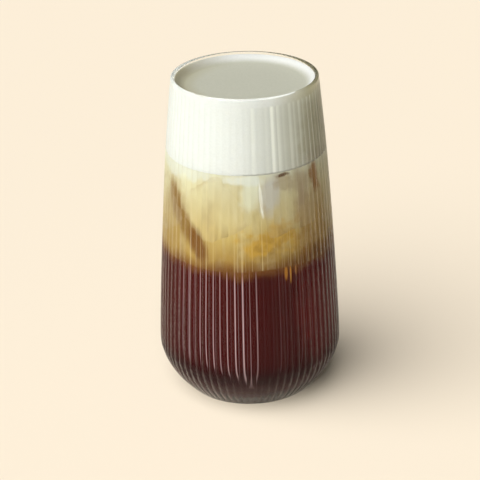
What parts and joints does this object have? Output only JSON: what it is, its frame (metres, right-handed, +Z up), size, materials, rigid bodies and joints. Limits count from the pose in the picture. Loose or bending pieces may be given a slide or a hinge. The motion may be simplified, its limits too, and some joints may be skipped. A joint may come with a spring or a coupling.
{
  "type": "iced coffee in a ribbed glass tumbler",
  "caption": "Layered iced coffee in a ribbed clear glass tumbler: dark coffee below, milky coffee with ice cubes above, and a deep cap of white milk foam to the rim.",
  "frame": {"origin": "middle of the foot disc that the glass stands on", "axes": "+Z up along the axis of the glass, -Y towards the front as pictured"},
  "size_m": [0.0784, 0.0784, 0.14],
  "materials": {
    "clear_glass": "clear moulded glass, polished, faint grey-green in the thick base",
    "dark_coffee": "dark red-brown iced coffee, wet, almost opaque",
    "milky_coffee": "milky coffee, cream at the top to golden tan at the bottom",
    "milk_foam": "smooth fine white milk foam, soft and matt",
    "ice": "wet ice, seen through milky coffee"
  },
  "bodies": {
    "root": {"glass_tumbler": "clear_glass", "coffee": "dark_coffee", "milky_coffee": "milky_coffee", "milk_foam": "milk_foam", "ice_cube_1": "ice", "ice_cube_2": "ice", "ice_cube_3": "ice", "ice_cube_4": "ice", "ice_cube_5": "ice", "ice_cube_6": "ice"}
  },
  "joints": []
}
